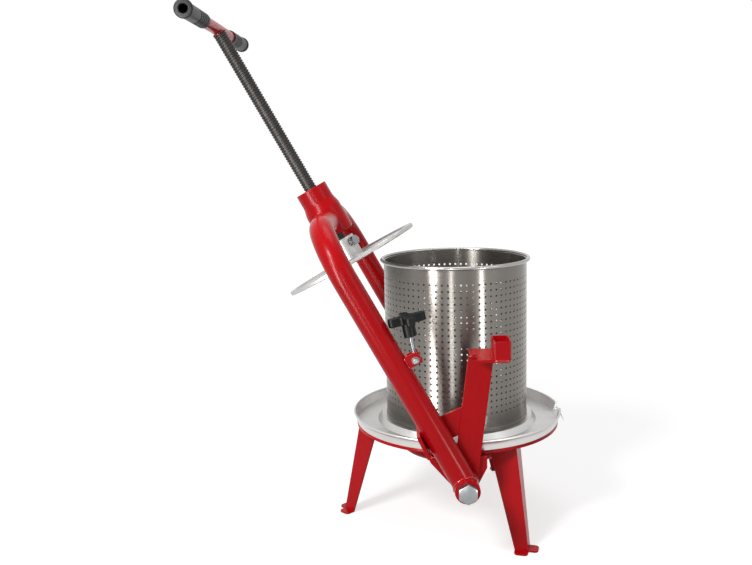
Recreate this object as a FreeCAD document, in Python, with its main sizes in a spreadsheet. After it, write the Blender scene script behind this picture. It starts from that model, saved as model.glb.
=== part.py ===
import FreeCAD, Part
import math
import os
import Sketcher

# Fruit press. A perforated basket stands in a juice tray on a dished base with three folded legs.
# A tubular yoke turns on two pivot bolts beside the base and carries the spindle with the press plate.
# Frame: millimetres, +Z up, floor at z = 0, basket axis at x = y = 0, pivot axis parallel to Y.
# At rest the yoke leans towards -X against its rest. The front, with the lock, is the -Y side.

SIZES = {
    # Clearances between pieces
    "seat_gap": 0.3,
    "running_fit": 0.05,
    "hole_clearance": 0.2,
    # Base dish: flat ring, raised ring and centre pan pressed in one sheet
    "dish_sheet": 2.5,
    "dish_radius": 190.5,
    "dish_lip": 5.5,
    "ring_height": 185.0,
    "ring_rise": 10.0,
    "pan_radius": 108.0,
    "pan_depth": 55.0,
    "pan_rounding": 12.0,
    # Legs: folded sheet with the fold outwards
    "leg_sheet": 3.0,
    "leg_spread_angle": 120.0,
    "leg_fold_angle": 45.0,
    "leg_top_inset": 5.5,
    "leg_top_width": 49.0,
    "leg_foot_radius": 220.0,
    "leg_foot_width": 24.0,
    "foot_length": 16.0,
    "foot_rounding": 7.0,
    # Juice tray
    "tray_sheet": 1.2,
    "tray_plateau": 142.0,
    "tray_step": 8.0,
    "tray_wall_run": 1.8,
    "tray_floor": 188.0,
    "tray_rim_radius": 194.5,
    "tray_depth": 16.5,
    "tray_bead": 2.0,
    "spout_width": 38.0,
    "spout_drop": 6.5,
    "spout_crest": 196.5,
    "spout_lip": 203.5,
    "spout_lip_drop": 24.0,
    # Basket
    "basket_radius": 132.5,
    "basket_wall": 1.0,
    "basket_height": 293.0,
    "basket_bead": 2.25,
    "hem_height": 6.0,
    "hem_thickness": 0.8,
    "bead_gap": 1.3,
    "bead_gap_bearing": 83.4,
    # Yoke: pivot, arms and hub, measured along the spindle axis from the pivot
    "tilt": 28.6,
    "pivot_height": 142.0,
    "arm_spread": 236.0,
    "arm_radius": 21.2,
    "arm_wall": 2.6,
    "arm_start": 10.0,
    "arm_bend": 90.0,
    "shoulder": 486.0,
    "hub_radius": 30.0,
    "hub_skirt": 34.0,
    "hub_below": 29.0,
    "hub_skirt_rise": 22.0,
    "hub_neck_rise": 38.0,
    "hub_rise": 66.0,
    "hub_foot_rounding": 3.0,
    "hub_blend": 20.0,
    "hub_rim_rounding": 1.5,
    "nut_radius": 20.0,
    "nut_length": 76.0,
    "nut_recess": 3.0,
    "boss_radius": 21.2,
    "boss_length": 50.0,
    # Pivot bolts with their washers and nuts
    "bolt_radius": 10.0,
    "bolt_flats": 30.0,
    "bolt_head": 12.5,
    "bolt_end": 2.0,
    "pivot_nut": 16.0,
    "washer_radius": 18.5,
    "washer_thickness": 3.7,
    # Pivot brackets under the dish; a share is of the height from the nose up to the ring
    "bracket_plate": 6.0,
    "bracket_face": 202.0,
    "bracket_left": 62.0,
    "bracket_left_knee": 58.0,
    "bracket_left_share": 0.81,
    "bracket_right": 38.0,
    "bracket_right_share": 0.656,
    "bracket_nose": 25.0,
    "bracket_nose_left": 12.0,
    "bracket_nose_right": 16.0,
    "bracket_rounding": 19.0,
    "bracket_flange": 5.0,
    "bracket_flange_share": 0.122,
    "bracket_depth": 52.0,
    # Lock post with the saddle plate, the lock tube and the yoke rest
    "post_width": 42.0,
    "post_thickness": 6.0,
    "post_rounding": 20.0,
    "post_lean": 7.5,
    "post_rise": 215.0,
    "saddle_left": 10.0,
    "saddle_right": 68.0,
    "saddle_front": 257.0,
    "saddle_back": 178.0,
    "saddle_thickness": 5.0,
    "saddle_clearance": 1.8,
    "tube_length": 28.0,
    "tube_width": 48.0,
    "tube_height": 30.0,
    "tube_wall": 3.0,
    "tube_clearance": 0.4,
    "slot_width": 12.0,
    "slot_rounding": 5.7,
    "slot_clearance": 2.1,
    "rest_height": 125.6,
    "rest_slope": 24.5,
    "rest_width": 42.0,
    "rest_flange": 50.0,
    # Lock lug on the front arm with its pin
    "pin_height": 230.8,
    "pin_reach": 33.8,
    "pin_radius": 3.0,
    "lug_reach": 43.0,
    "lug_ear": 4.0,
    "lug_web": 3.0,
    "lug_below": 7.9,
    "lug_above": 12.6,
    "pin_flats": 10.0,
    "pin_head": 4.0,
    "pin_nut": 6.5,
    "pin_end": 1.0,
    "pin_washer_radius": 6.2,
    "pin_washer": 1.2,
    # Swing bolt with its cross knob
    "swing_lean": 17.5,
    "eye_radius": 9.0,
    "eye_thickness": 10.0,
    "eye_play": 1.0,
    "stud_radius": 4.0,
    "stud_length": 62.0,
    "knob_start": 39.0,
    "knob_hub": 11.0,
    "lobe_start": 60.0,
    "knob_end": 74.0,
    "lobe_reach": 31.5,
    "lobe_half_width": 8.0,
    "lobe_rounding": 7.5,
    "lobe_waist": 6.0,
    "lobe_edge": 2.0,
    "knob_turn": 12.0,
    # Press plate with its screw and lock nut
    "plate_radius": 130.5,
    "plate_middle": 402.0,
    "plate_thickness": 7.5,
    "plate_recess": 3.5,
    "plate_edge": 12.0,
    "plate_boss": 25.0,
    "plate_boss_top": 443.6,
    "plate_sag": 3.3,
    "socket_clearance": 2.5,
    "socket_floor": 407.0,
    "groove_height": 430.5,
    "groove_depth": 3.5,
    "groove_width": 11.0,
    "screw_radius": 5.0,
    "screw_flats": 16.0,
    "screw_head": 6.4,
    "screw_bearing": 42.0,
    "screw_tip_gap": 0.4,
    "lock_nut": 6.0,
    # Spindle with its cross handle
    "spindle_radius": 12.0,
    "spindle_end_gap": 1.2,
    "edge_chamfer": 1.0,
    "handle_height": 882.0,
    "handle_half": 250.0,
    "handle_radius": 10.5,
    "handle_bore": 7.4,
    "grip_radius": 13.0,
    "grip_start": 115.0,
    "grip_collar": 15.0,
    "grip_collar_length": 5.0,
    "grip_cap": 2.0,
    "grip_rounding": 1.5,
}

FRONT, REAR = -1, 1
SIDES = {"front": FRONT, "rear": REAR}

doc = FreeCAD.newDocument("FruitPress")
sheet = doc.addObject("Spreadsheet::Sheet", "Sizes")
for row, (alias, number) in enumerate(SIZES.items(), start=1):
    sheet.set(f"A{row}", alias.replace("_", " "))
    sheet.set(f"B{row}", str(number))
    sheet.setAlias(f"B{row}", alias)
doc.recompute()


class Size:
    """A number of the model with the spreadsheet formula that it comes from."""

    def __init__(self, value, formula):
        self.value = value
        self.formula = formula

    def __float__(self):
        return self.value

    def __add__(self, other):
        other = as_size(other)
        return Size(self.value + other.value, f"({self.formula} + {other.formula})")

    def __sub__(self, other):
        other = as_size(other)
        return Size(self.value - other.value, f"({self.formula} - {other.formula})")

    def __mul__(self, other):
        other = as_size(other)
        return Size(self.value * other.value, f"({self.formula} * {other.formula})")

    def __truediv__(self, other):
        other = as_size(other)
        return Size(self.value / other.value, f"({self.formula} / {other.formula})")

    def __neg__(self):
        return Size(-self.value, f"(-{self.formula})")

    def __radd__(self, other):
        return as_size(other) + self

    def __rsub__(self, other):
        return as_size(other) - self

    def __rmul__(self, other):
        return as_size(other) * self


def as_size(number):
    """Return a Size as it is, and wrap a plain number."""
    if isinstance(number, Size):
        return number
    return Size(float(number), f"({float(number)})")


def sine(angle):
    """Sine of an angle in degrees."""
    return Size(math.sin(math.radians(float(angle))), f"sin({angle.formula})")


def cosine(angle):
    """Cosine of an angle in degrees."""
    return Size(math.cos(math.radians(float(angle))), f"cos({angle.formula})")


class Dimensions:
    """The driving dimensions, read from the sheet by their names."""

    def __getattr__(self, alias):
        return Size(float(sheet.get(alias)), f"Sizes.{alias}")


D = Dimensions()


def placement(base=(0, 0, 0), axis=(0, 0, 1), angle=0):
    """Formula of a placement: turned by an angle about an axis, then moved to the base point."""
    point = "; ".join(as_size(number).formula for number in base)
    turn = "; ".join(str(number) for number in axis)
    return f"placement(vector({point}); rotation(vector({turn}); {as_size(angle).formula}))"


def place(piece, *steps):
    """Bind the placement of a piece to a chain of placement formulas, the outermost first."""
    piece.setExpression("Placement", " * ".join(steps))
    return piece


def bind(piece, **values):
    """Bind properties of a piece to sizes."""
    for name, size in values.items():
        piece.setExpression(name, as_size(size).formula)
    return piece


# Frames that the placements start from
YOKE = placement((0, 0, D.pivot_height), (0, -1, 0), D.tilt)
POST = placement((0, 0, D.pivot_height), (0, 1, 0), D.post_lean)
PLATE = YOKE + " * " + placement((0, 0, D.groove_height), (-1, 0, 0), D.plate_sag)
SWING = YOKE + " * " + placement((D.pin_reach, -D.arm_spread, D.pin_height), (0, 1, 0), D.swing_lean)
ALONG_X = placement(axis=(0, 1, 0), angle=90)
ALONG_Y = placement(axis=(-1, 0, 0), angle=90)


# Primitives and booleans

def rod(name, radius, low, high, *steps):
    """Cylinder along Z from one height to another, then placed by the given steps."""
    cylinder = bind(doc.addObject("Part::Cylinder", name), Radius=radius, Height=high - low)
    return place(cylinder, *steps, placement((0, 0, low)))


def hexagon(name, flats, low, high, *steps):
    """Hexagonal prism along Z with two corners on the Y axis, then placed by the given steps."""
    prism = bind(doc.addObject("Part::Prism", name), Circumradius=flats / 2 / cosine(as_size(30)),
                 Height=high - low)
    prism.Polygon = 6
    return place(prism, *steps, placement((0, 0, low), angle=90))


def cut(name, base, tool, *steps):
    """Base without the tool, placed as one piece."""
    result = doc.addObject("Part::Cut", name)
    result.Base = base
    result.Tool = tool
    return place(result, *(steps or (placement(),)))


def fuse(name, pieces, *steps):
    """Pieces joined to one, placed as one piece."""
    result = doc.addObject("Part::MultiFuse", name)
    result.Shapes = pieces
    result.Refine = True
    return place(result, *(steps or (placement(),)))


# Sketched bodies

def outline(sketch, corners):
    """Draw a closed outline with every corner fixed by sizes.

    A corner is (across, up) or (across, up, radius), where the radius rounds it.
    """
    points = [FreeCAD.Vector(float(corner[0]), float(corner[1]), 0) for corner in corners]
    arrive, leave, arcs = [], [], []
    for index, corner in enumerate(corners):
        here = points[index]
        back = (points[index - 1] - here).normalize()
        ahead = (points[(index + 1) % len(points)] - here).normalize()
        if len(corner) < 3:
            arrive.append(here)
            leave.append(here)
            arcs.append(None)
            continue
        radius = float(corner[2])
        half = back.getAngle(ahead) / 2
        arrive.append(here + back * (radius / math.tan(half)))
        leave.append(here + ahead * (radius / math.tan(half)))
        centre = here + (back + ahead).normalize() * (radius / math.sin(half))
        left_turn = (-back).cross(ahead).z > 0
        start, end = (arrive[-1], leave[-1]) if left_turn else (leave[-1], arrive[-1])
        angles = [math.atan2(point.y - centre.y, point.x - centre.x) for point in (start, end)]
        circle = Part.Circle(centre, FreeCAD.Vector(0, 0, 1), radius)
        arcs.append((Part.ArcOfCircle(circle, *angles), left_turn))
    count = len(corners)
    first = sketch.GeometryCount
    sketch.addGeometry([Part.LineSegment(leave[i], arrive[(i + 1) % count]) for i in range(count)])
    constraints, formulas = [], []

    def measure(kind, *args, size):
        constraints.append(Sketcher.Constraint(kind, *args, float(size)))
        formulas.append((len(constraints) - 1, as_size(size).formula))

    for index, corner in enumerate(corners):
        before, after = first + (index - 1) % count, first + index
        if arcs[index] is None:
            constraints.append(Sketcher.Constraint("Coincident", before, 2, after, 1))
            mark, end = after, 1
        else:
            shape, left_turn = arcs[index]
            arc = sketch.addGeometry(shape)
            mark, end = sketch.addGeometry(Part.Point(points[index]), True), 1
            near, far = (1, 2) if left_turn else (2, 1)
            constraints.append(Sketcher.Constraint("Tangent", before, 2, arc, near))
            constraints.append(Sketcher.Constraint("Tangent", after, 1, arc, far))
            constraints.append(Sketcher.Constraint("PointOnObject", mark, 1, before))
            constraints.append(Sketcher.Constraint("PointOnObject", mark, 1, after))
            measure("Radius", arc, size=corner[2])
        for kind, axis, value in (("DistanceX", -2, corner[0]), ("DistanceY", -1, corner[1])):
            if float(value) == 0:
                constraints.append(Sketcher.Constraint("PointOnObject", mark, end, axis))
            else:
                measure(kind, -1, 1, mark, end, size=value)
    offset = sketch.ConstraintCount
    sketch.addConstraint(constraints)
    for index, formula in formulas:
        sketch.setExpression(f"Constraints[{offset + index}]", formula)


def ring(sketch, across, up, radius):
    """Draw a circle with its centre and radius fixed by sizes."""
    centre = FreeCAD.Vector(float(across), float(up), 0)
    circle = sketch.addGeometry(Part.Circle(centre, FreeCAD.Vector(0, 0, 1), float(radius)))
    measures = [("Radius", (circle,), radius)]
    for kind, axis, value in (("DistanceX", -2, across), ("DistanceY", -1, up)):
        if float(value) == 0:
            sketch.addConstraint(Sketcher.Constraint("PointOnObject", circle, 3, axis))
        else:
            measures.append((kind, (-1, 1, circle, 3), value))
    for kind, args, size in measures:
        number = sketch.addConstraint(Sketcher.Constraint(kind, *args, float(size)))
        sketch.setExpression(f"Constraints[{number}]", as_size(size).formula)


class Built:
    """A body made by sketched features, one after another."""

    def __init__(self, label):
        self.body = doc.addObject("PartDesign::Body", label)
        self.label = label

    def sketch(self, plane, offset=0):
        """Empty sketch on an origin plane, moved along the plane's normal."""
        sketch = self.body.newObject("Sketcher::SketchObject", f"{self.label}_sketch")
        origin = [feature for feature in self.body.Origin.OriginFeatures if feature.Role == plane]
        sketch.AttachmentSupport = [(origin[0], "")]
        sketch.MapMode = "FlatFace"
        sketch.setExpression("AttachmentOffset.Base.z", as_size(offset).formula)
        return sketch

    def feature(self, kind, sketch, **values):
        """Add a feature on a sketch and bind its values."""
        feature = self.body.newObject(f"PartDesign::{kind}", f"{self.label}_{kind.lower()}")
        feature.Profile = sketch
        return bind(feature, **values)

    def lathe(self, *shapes, kind="Revolution"):
        """Turn outlines of (radius, height) corners, or rings, about the Z axis."""
        sketch = self.sketch("XZ_Plane")
        for shape in shapes:
            shape(sketch)
        feature = self.feature(kind, sketch)
        feature.ReferenceAxis = (sketch, ["V_Axis"])
        feature.Angle = 360
        return self

    def slab(self, plane, low, high, *shapes):
        """Add shapes on a plane, as thick as from low to high along the axis across the plane."""
        start = -high if plane == "XZ_Plane" else low
        sketch = self.sketch(plane, start)
        for shape in shapes:
            shape(sketch)
        self.feature("Pad", sketch, Length=high - low)
        return self

    def remove(self, plane, low, high, *shapes):
        """Take shapes on a plane away, from low to high along the axis across the plane."""
        start = -low if plane == "XZ_Plane" else high
        sketch = self.sketch(plane, start)
        for shape in shapes:
            shape(sketch)
        self.feature("Pocket", sketch, Length=high - low)
        return self

    def soften(self, kind, size, chosen):
        """Round or bevel the edges of the last feature that a test chooses."""
        doc.recompute()
        base = self.body.Tip
        edges = [f"Edge{number}" for number, edge in enumerate(base.Shape.Edges, start=1) if chosen(edge)]
        feature = self.body.newObject(f"PartDesign::{kind}", f"{self.label}_{kind.lower()}")
        feature.Base = (base, edges)
        bind(feature, **{"Radius" if kind == "Fillet" else "Size": size})
        return self

    def loft(self, plane, low, high, low_shape, high_shape):
        """Solid between one shape at low and another at high."""
        sketches = [self.sketch(plane, low), self.sketch(plane, high)]
        low_shape(sketches[0])
        high_shape(sketches[1])
        feature = self.body.newObject("PartDesign::AdditiveLoft", f"{self.label}_loft")
        feature.Profile = sketches[0]
        feature.Sections = [sketches[1]]
        feature.Ruled = True
        return self


def shape(*corners):
    """An outline to be drawn in a sketch."""
    return lambda sketch: outline(sketch, corners)


def circle(across, up, radius):
    """A circle to be drawn in a sketch."""
    return lambda sketch: ring(sketch, across, up, radius)


# Cutting tools reach this far past the material
OVERRUN = 1

# Levels and places that several pieces share
tray_floor_top = D.ring_height + D.seat_gap + D.tray_sheet
plateau_top = D.ring_height + D.ring_rise + D.seat_gap + D.tray_sheet
basket_bottom = plateau_top + D.seat_gap
basket_bead_height = basket_bottom + D.basket_height
ring_underside = D.ring_height - D.dish_sheet
dish_step_foot = D.tray_plateau + D.tray_step / 2
post_face = D.bracket_face + D.post_thickness
boss_near = post_face + D.washer_thickness + D.seat_gap
boss_far = boss_near + D.boss_length
bolt_seat = boss_far + D.seat_gap
bracket_back = D.bracket_face - D.bracket_plate
lug_gap = D.eye_thickness + D.eye_play
lug_half = lug_gap / 2 + D.lug_ear
post_top = D.pivot_height + D.post_rise
saddle_top = post_top + D.saddle_thickness
hub_bottom = D.shoulder - D.hub_below
hub_top = D.shoulder + D.hub_rise
tube_left = D.lug_reach + D.tube_clearance


# Base

def base_dish():
    """Dish pressed from one sheet: outer lip, flat ring, raised ring and centre pan."""
    lip_bottom = D.ring_height - D.dish_lip
    raised = D.ring_height + D.ring_rise
    pan_bottom = D.ring_height - D.pan_depth
    step_top = dish_step_foot - D.tray_step
    return Built("base_dish").lathe(shape(
        (D.dish_radius, lip_bottom),
        (D.dish_radius, D.ring_height, D.dish_sheet),
        (dish_step_foot, D.ring_height),
        (step_top, raised),
        (D.pan_radius - D.dish_sheet, raised),
        (D.pan_radius - D.dish_sheet, pan_bottom + D.dish_sheet, D.pan_rounding - D.dish_sheet),
        (0, pan_bottom + D.dish_sheet),
        (0, pan_bottom),
        (D.pan_radius, pan_bottom, D.pan_rounding),
        (D.pan_radius, raised - D.dish_sheet),
        (step_top - D.dish_sheet / 2, raised - D.dish_sheet),
        (dish_step_foot - D.dish_sheet / 2, ring_underside),
        (D.dish_radius - D.dish_sheet, ring_underside),
        (D.dish_radius - D.dish_sheet, lip_bottom))).body


def fold_section(radius, width):
    """Section of a folded leg with its fold at a radius on the X axis and two flanges inwards."""
    run, rise = width * cosine(D.leg_fold_angle), width * sine(D.leg_fold_angle)
    skin_run, skin_rise = D.leg_sheet * sine(D.leg_fold_angle), D.leg_sheet * cosine(D.leg_fold_angle)
    return shape(
        (radius, 0),
        (radius - run, rise),
        (radius - run - skin_run, rise - skin_rise),
        (radius - D.leg_sheet / sine(D.leg_fold_angle), 0),
        (radius - run - skin_run, skin_rise - rise),
        (radius - run, -rise))


def foot(side):
    """Outline of the tab bent outwards at the bottom of one flange, on the given side of the fold."""
    run, rise = D.leg_foot_width * cosine(D.leg_fold_angle), D.leg_foot_width * sine(D.leg_fold_angle)
    skin_run, skin_rise = D.leg_sheet * sine(D.leg_fold_angle), D.leg_sheet * cosine(D.leg_fold_angle)
    out, wide = D.foot_length * sine(D.leg_fold_angle), D.foot_length * cosine(D.leg_fold_angle)
    fold = D.leg_foot_radius
    return shape(
        (fold - D.leg_sheet / sine(D.leg_fold_angle), 0),
        (fold, 0),
        (fold + out, wide * side, D.foot_rounding),
        (fold - run + out, (rise + wide) * side, D.foot_rounding),
        (fold - run, rise * side),
        (fold - run - skin_run, (rise - skin_rise) * side))


def leg(label, bearing):
    """Leg of folded sheet under the flat ring, with two foot tabs, at a bearing round the basket."""
    built = Built(label)
    built.loft("XY_Plane", as_size(0), ring_underside,
               fold_section(D.leg_foot_radius, D.leg_foot_width),
               fold_section(D.dish_radius - D.leg_top_inset, D.leg_top_width))
    for side in (-1, 1):
        built.slab("XY_Plane", as_size(0), D.leg_sheet, foot(side))
    return place(built.body, placement(angle=bearing))


def across(side, near, far):
    """The interval of y between two distances from the middle, on the front or the rear side."""
    return (-far, -near) if side == FRONT else (near, far)


def pivot_bracket(label, side):
    """Shield-shaped plate round a pivot bolt, with two flanges folded in under the dish."""
    nose_bottom = D.pivot_height - D.bracket_nose
    plate_top = D.ring_height - D.dish_lip - D.seat_gap
    rise = ring_underside - nose_bottom
    left_height = nose_bottom + rise * D.bracket_left_share
    right_height = nose_bottom + rise * D.bracket_right_share
    flange_bottom = nose_bottom + rise * D.bracket_flange_share
    left_fall = (left_height - flange_bottom) / (left_height - nose_bottom)
    right_fall = (right_height - flange_bottom) / (right_height - nose_bottom)
    left_end = left_fall * (D.bracket_left_knee - D.bracket_nose_left) - D.bracket_left_knee
    right_end = D.bracket_right - right_fall * (D.bracket_right - D.bracket_nose_right)
    built = Built(label)
    built.slab("XZ_Plane", *across(side, bracket_back, D.bracket_face), shape(
        (-D.bracket_left, plate_top),
        (-D.bracket_left_knee, left_height),
        (-D.bracket_nose_left, nose_bottom, D.bracket_rounding),
        (D.bracket_nose_right, nose_bottom, D.bracket_rounding),
        (D.bracket_right, right_height),
        (D.bracket_right, plate_top)))
    built.slab("XZ_Plane", *across(side, bracket_back - D.bracket_depth, bracket_back), shape(
        (-D.bracket_left, ring_underside),
        (-D.bracket_left_knee, left_height),
        (left_end, flange_bottom),
        (left_end + D.bracket_flange, flange_bottom),
        (D.bracket_flange - D.bracket_left_knee, left_height),
        (D.bracket_flange - D.bracket_left, ring_underside)))
    built.slab("XZ_Plane", *across(side, bracket_back - D.bracket_depth, bracket_back), shape(
        (D.bracket_right, ring_underside),
        (D.bracket_right, right_height),
        (right_end, flange_bottom),
        (right_end - D.bracket_flange, flange_bottom),
        (D.bracket_right - D.bracket_flange, right_height),
        (D.bracket_right - D.bracket_flange, ring_underside)))
    built.remove("XZ_Plane", *across(side, bracket_back, D.bracket_face),
                 circle(0, D.pivot_height, D.bolt_radius + D.hole_clearance))
    built.lathe(shape(
        (D.dish_radius - D.dish_sheet - D.seat_gap, plate_top),
        (D.bracket_face * 2, plate_top),
        (D.bracket_face * 2, D.ring_height),
        (D.dish_radius - D.dish_sheet - D.seat_gap, D.ring_height)), kind="Groove")
    return built.body


def pivot_bolt(label, side):
    """Hexagon bolt through a boss of the yoke and the bracket, with its head outside."""
    stand = placement((0, side * (bolt_seat + D.bolt_head), 0), (side, 0, 0), 90)
    shank_end = D.bolt_head + bolt_seat - bracket_back + D.pivot_nut + D.bolt_end
    head = hexagon(f"{label}_head", D.bolt_flats, as_size(0), D.bolt_head)
    shank = rod(f"{label}_shank", D.bolt_radius, D.bolt_head - OVERRUN, shank_end)
    return fuse(label, [head, shank], placement((0, 0, D.pivot_height)), stand)


def pivot_nut(label, side):
    """Hexagon nut on a pivot bolt, inside the bracket."""
    stand = placement((0, side * bracket_back, 0), (side, 0, 0), 90)
    block = hexagon(f"{label}_block", D.bolt_flats, as_size(0), D.pivot_nut)
    bore = rod(f"{label}_bore", D.bolt_radius, as_size(-OVERRUN), D.pivot_nut + OVERRUN)
    return cut(label, block, bore, placement((0, 0, D.pivot_height)), stand)


def disc(label, radius, bore, side, near, far):
    """Washer or spacer round a pivot bolt, between two distances from the middle."""
    stand = placement((0, side * far, 0), (side, 0, 0), 90)
    blank = rod(f"{label}_blank", radius, as_size(0), far - near)
    hole = rod(f"{label}_hole", bore, as_size(-OVERRUN), far - near + OVERRUN)
    return cut(label, blank, hole, placement((0, 0, D.pivot_height)), stand)


def leaned_height(level, offset):
    """Height along the leaning post at which a line at an offset from its middle meets a level."""
    return (level - D.pivot_height + offset * sine(D.post_lean)) / cosine(D.post_lean)


def lock_post():
    """Flat bar that leans from the front pivot bolt up to the saddle plate."""
    half = D.post_width / 2
    built = Built("lock_post")
    built.slab("XZ_Plane", -post_face, -D.bracket_face, shape(
        (-half, -half, D.post_rounding),
        (half, -half, D.post_rounding),
        (half, leaned_height(post_top, half)),
        (-half, leaned_height(post_top, -half))))
    built.remove("XZ_Plane", -post_face, -D.bracket_face,
                 circle(0, 0, D.bolt_radius + D.hole_clearance))
    return place(built.body, POST)


def saddle_plate():
    """Plate on top of the lock post with a notch that receives the upright arm."""
    blank = doc.addObject("Part::Box", "saddle_blank")
    bind(blank, Length=D.saddle_right - D.saddle_left, Width=D.saddle_front - D.saddle_back,
         Height=D.saddle_thickness)
    place(blank, placement((D.saddle_left, -D.saddle_front, post_top)))
    notch = rod("saddle_notch", D.arm_radius + D.saddle_clearance, post_top - OVERRUN,
                saddle_top + OVERRUN, placement((0, -D.arm_spread, 0)))
    return cut("saddle_plate", blank, notch)


def lock_tube():
    """Short upright tube on the saddle plate: the lug stops against it and the swing bolt lies in it."""
    left, right = tube_left, tube_left + D.tube_length
    front, back = -D.arm_spread - D.tube_width / 2, -D.arm_spread + D.tube_width / 2
    top = saddle_top + D.tube_height
    slot_bottom = D.pivot_height + D.pin_height - D.stud_radius - D.slot_clearance
    half = D.slot_width / 2
    wall = D.tube_wall
    return Built("lock_tube").slab(
        "XY_Plane", saddle_top, top,
        shape((left, front, wall), (right, front, wall), (right, back, wall), (left, back, wall)),
        shape((left + wall, front + wall), (right - wall, front + wall),
              (right - wall, back - wall), (left + wall, back - wall))
    ).remove(
        "YZ_Plane", left - OVERRUN, right + OVERRUN,
        shape((-D.arm_spread - half, slot_bottom, D.slot_rounding),
              (half - D.arm_spread, slot_bottom, D.slot_rounding),
              (half - D.arm_spread, top + OVERRUN), (-D.arm_spread - half, top + OVERRUN))).body


def yoke_rest():
    """Flat bar from the lock post with its end bent to the front, where the tilted arm leans."""
    slope = D.rest_slope + D.post_lean
    lean = D.tilt + D.post_lean
    start = -D.post_width / 2
    reach = (start * cosine(lean) + D.rest_height * sine(lean) + D.arm_radius + D.seat_gap) \
        / cosine(D.tilt - D.rest_slope)
    end = reach + D.post_thickness

    def at(along, down):
        return (start - along * cosine(slope) + down * sine(slope),
                D.rest_height - along * sine(slope) - down * cosine(slope))

    built = Built("yoke_rest")
    built.slab("XZ_Plane", -post_face, -D.bracket_face, shape(
        at(0, 0), at(end, 0), at(end, D.rest_width),
        (start, D.rest_height - D.rest_width / cosine(slope))))
    built.slab("XZ_Plane", -post_face - D.rest_flange, -post_face, shape(
        at(reach, 0), at(end, 0), at(end, D.rest_width), at(reach, D.rest_width)))
    return place(built.body, POST)


# Juice tray and basket

def juice_tray():
    """Spun tray with a raised middle for the basket, a sloping wall with a bead, and a spout."""
    rim = tray_floor_top + D.tray_depth
    step_foot = D.tray_plateau + D.tray_step
    crest = rim - D.spout_drop
    half = D.spout_width / 2
    skin = D.tray_wall_run
    lip = D.spout_crest - D.tray_floor
    lip_end = rim - D.spout_lip_drop
    tray = Built("juice_tray").lathe(shape(
        (0, plateau_top),
        (D.tray_plateau, plateau_top),
        (step_foot, tray_floor_top),
        (D.tray_floor, tray_floor_top),
        (D.tray_rim_radius - skin / 2, rim),
        (D.tray_rim_radius + skin / 2, rim),
        (D.tray_floor + skin, tray_floor_top - D.tray_sheet),
        (step_foot - skin / 2, tray_floor_top - D.tray_sheet),
        (D.tray_plateau - skin / 2, plateau_top - D.tray_sheet),
        (0, plateau_top - D.tray_sheet)))
    tray.lathe(circle(D.tray_rim_radius, rim, D.tray_bead))
    tray.remove("XY_Plane", tray_floor_top, rim + D.tray_bead + OVERRUN, shape(
        (D.tray_floor - lip, -half), (D.spout_lip, -half), (D.spout_lip, half), (D.tray_floor - lip, half)))
    tray.slab("XZ_Plane", -half, half, shape(
        (D.tray_floor - skin, tray_floor_top),
        (D.spout_crest, crest, D.tray_bead + D.tray_sheet),
        (D.spout_lip, lip_end),
        (D.spout_lip - skin, lip_end),
        (D.spout_crest - D.tray_sheet / 2, crest - skin, D.tray_bead),
        (D.tray_floor, tray_floor_top - D.tray_sheet)))
    for low, high in ((-half - D.tray_sheet, -half), (half, half + D.tray_sheet)):
        tray.slab("XZ_Plane", low, high, shape(
            (D.tray_floor, tray_floor_top - D.tray_sheet),
            (D.spout_crest, crest),
            (D.tray_rim_radius, rim),
            (D.tray_floor - skin, tray_floor_top)))
    return tray.body


def basket_shell():
    """Open cylinder of thin sheet with a hem round its foot."""
    inner = D.basket_radius - D.basket_wall
    hem = D.basket_radius + D.hem_thickness
    return Built("basket_shell").lathe(shape(
        (inner, basket_bottom),
        (hem, basket_bottom),
        (hem, basket_bottom + D.hem_height),
        (D.basket_radius, basket_bottom + D.hem_height),
        (D.basket_radius, basket_bead_height),
        (inner, basket_bead_height))).body


def basket_rim():
    """Round bead on the outside of the basket's rim, with a small gap at the seam."""
    bead = bind(doc.addObject("Part::Torus", "basket_rim"), Radius1=D.basket_radius + D.basket_bead,
                Radius2=D.basket_bead, Angle3=360 - D.bead_gap)
    return place(bead, placement((0, 0, basket_bead_height), angle=D.bead_gap_bearing + D.bead_gap / 2))


# Yoke

def yoke_arm(label, side):
    """Bent tube from the pivot boss up and round the shoulder to the hub, coped at both ends."""
    bend_centre = placement((0, side * (D.arm_spread - D.arm_bend), D.shoulder - D.arm_bend),
                            (1, side, side), 120)
    stand = placement((0, side * D.arm_spread, 0))
    inwards = placement((0, 0, D.shoulder), (-side, 0, 0), 90)

    def tube(part, radius, overrun):
        upright = rod(f"{label}_{part}_upright", radius, D.arm_start - overrun,
                      D.shoulder - D.arm_bend, stand)
        bend = bind(doc.addObject("Part::Torus", f"{label}_{part}_bend"), Radius1=D.arm_bend,
                    Radius2=radius)
        bend.Angle3 = 90
        place(bend, bend_centre)
        top = rod(f"{label}_{part}_top", radius, D.nut_radius + OVERRUN - overrun,
                  D.arm_spread - D.arm_bend, inwards)
        return fuse(f"{label}_{part}", [upright, bend, top])

    pipe = cut(f"{label}_pipe", tube("skin", D.arm_radius, 0), tube("bore", D.arm_radius - D.arm_wall, 1))
    boss = rod(f"{label}_boss_cope", D.boss_radius, -boss_far, boss_far, ALONG_Y)
    hub = rod(f"{label}_hub_cope", D.hub_skirt, hub_bottom, hub_top)
    return cut(label, cut(f"{label}_coped", pipe, boss), hub, YOKE)


def yoke_hub():
    """Hub that joins the arms, wider at its foot, bored for the spindle nut."""
    built = Built("yoke_hub").lathe(shape(
        (D.nut_radius, hub_bottom),
        (D.hub_skirt, hub_bottom, D.hub_foot_rounding),
        (D.hub_skirt, D.shoulder + D.hub_skirt_rise, D.hub_blend),
        (D.hub_radius, D.shoulder + D.hub_neck_rise, D.hub_blend),
        (D.hub_radius, hub_top, D.hub_rim_rounding),
        (D.nut_radius, hub_top)))
    return place(built.body, YOKE)


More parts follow.
